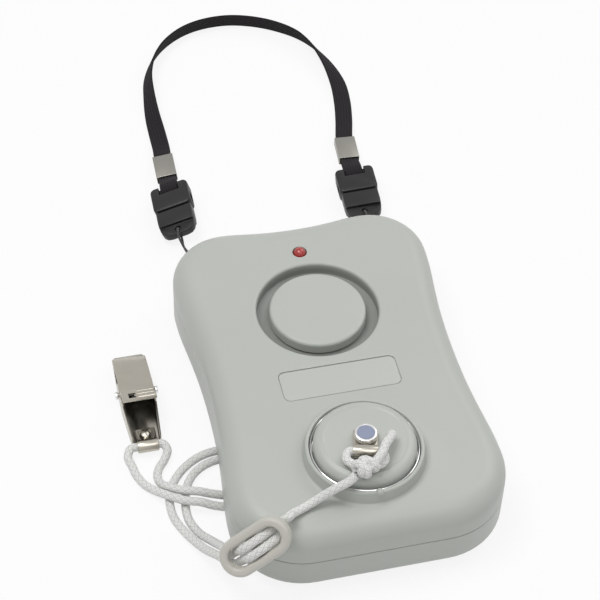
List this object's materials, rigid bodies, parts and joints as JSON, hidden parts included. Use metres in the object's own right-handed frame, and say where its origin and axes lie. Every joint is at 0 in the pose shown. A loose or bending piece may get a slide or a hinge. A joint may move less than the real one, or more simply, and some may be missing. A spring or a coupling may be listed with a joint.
{
  "type": "bed alarm monitor",
  "caption": "Waisted grey alarm box with a siren, a lamp and a magnet cap on a white pull cord that ends in a garment clip; a black strap with side-release buckles hangs from one end.",
  "frame": {"origin": "centre of the case outline, on the surface that the feet and the loose cords lie on", "axes": "+Z out of the case's face, +Y towards the strap, +X to the right as the face is read with the strap up"},
  "size_m": [0.1247, 0.2955, 0.0459],
  "materials": {
    "case_plastic": "fine satin texture",
    "slider_plastic": "smooth grey",
    "black_plastic": "smooth black",
    "rubber_foot": "matte",
    "bright_steel": "nickel plated",
    "stud_steel": "blued",
    "brass": "plain",
    "board": "solder mask",
    "cell_sleeve": "plain sleeve",
    "lamp_lens": "tinted lens",
    "label_film": "satin film",
    "white_cord": "braided",
    "black_webbing": "woven",
    "magnet": "plated",
    "glass_tube": "clear",
    "red_wire": "insulation",
    "black_wire": "insulation"
  },
  "bodies": {
    "case": {"top_shell": "case_plastic", "bottom_shell": "case_plastic", "siren_cover": "case_plastic", "foot_1": "rubber_foot", "foot_2": "rubber_foot", "foot_3": "rubber_foot", "foot_4": "rubber_foot", "case_screw_1": "bright_steel", "case_screw_2": "bright_steel", "case_screw_3": "bright_steel", "case_screw_4": "bright_steel", "board_screw_1": "bright_steel", "board_screw_2": "bright_steel", "contact_strip": "bright_steel", "contact_tab_1": "bright_steel", "contact_tab_2": "bright_steel", "contact_spring_1": "bright_steel", "contact_spring_2": "bright_steel", "keeper_cup": "bright_steel", "clip_base": "bright_steel", "clip_pin": "bright_steel", "clip_spring": "bright_steel", "clip_loop": "bright_steel", "clip_rivet": "bright_steel", "crimp_left": "bright_steel", "crimp_right": "bright_steel", "siren_case": "black_plastic", "socket_left": "black_plastic", "socket_right": "black_plastic", "siren_disc": "brass", "warning_lamp": "lamp_lens", "label_plate": "label_film", "circuit_board": "board", "reed_switch": "glass_tube", "battery_1": "cell_sleeve", "battery_2": "cell_sleeve", "battery_wire_1": "red_wire", "siren_wire_1": "red_wire", "battery_wire_2": "black_wire", "siren_wire_2": "black_wire", "pull_cord": "white_cord", "clip_cord": "white_cord", "strap": "black_webbing", "plug_loop_left": "black_webbing", "plug_loop_right": "black_webbing"},
    "cap": {"magnet_cap": "case_plastic", "cap_magnet": "magnet", "cord_clasp": "bright_steel", "cap_stud": "stud_steel", "cord_knot": "white_cord"},
    "slider": {"cord_slider": "slider_plastic"},
    "clip_jaw": {"clip_jaw": "bright_steel"},
    "battery_door": {"battery_door": "case_plastic"},
    "plug_left": {"plug_left": "black_plastic"},
    "plug_right": {"plug_right": "black_plastic"}
  },
  "joints": [
    {"name": "cap_lift", "type": "slide", "parent": "case", "child": "cap", "axis": [0, 0, 1], "range_m": [0, 0.014], "deforming": ["pull_cord"]},
    {"name": "slider_slide", "type": "slide", "parent": "case", "child": "slider", "axis": [0.7799, 0, 0.6259], "range_m": [0, 0.008], "deforming": ["clip_cord", "pull_cord"]},
    {"name": "jaw_hinge", "type": "hinge", "parent": "case", "child": "clip_jaw", "pos_m": [-0.0673, 0.0215, 0.0045], "axis": [1, 0, 0], "range_deg": [0, 18], "stiffness_Nm_per_rad": 0.05, "springref_deg": -17.19},
    {"name": "door_hinge", "type": "hinge", "parent": "case", "child": "battery_door", "pos_m": [0, -0.0265, 0.0042], "axis": [1, 0, 0], "range_deg": [0, 60]},
    {"name": "plug_left_slide", "type": "slide", "parent": "case", "child": "plug_left", "axis": [-0.0332, -0.9995, 0], "range_m": [0, 0.012], "deforming": ["plug_loop_left"]},
    {"name": "plug_right_slide", "type": "slide", "parent": "case", "child": "plug_right", "axis": [-0.0506, -0.9987, 0], "range_m": [0, 0.012], "deforming": ["plug_loop_right"]}
  ]
}
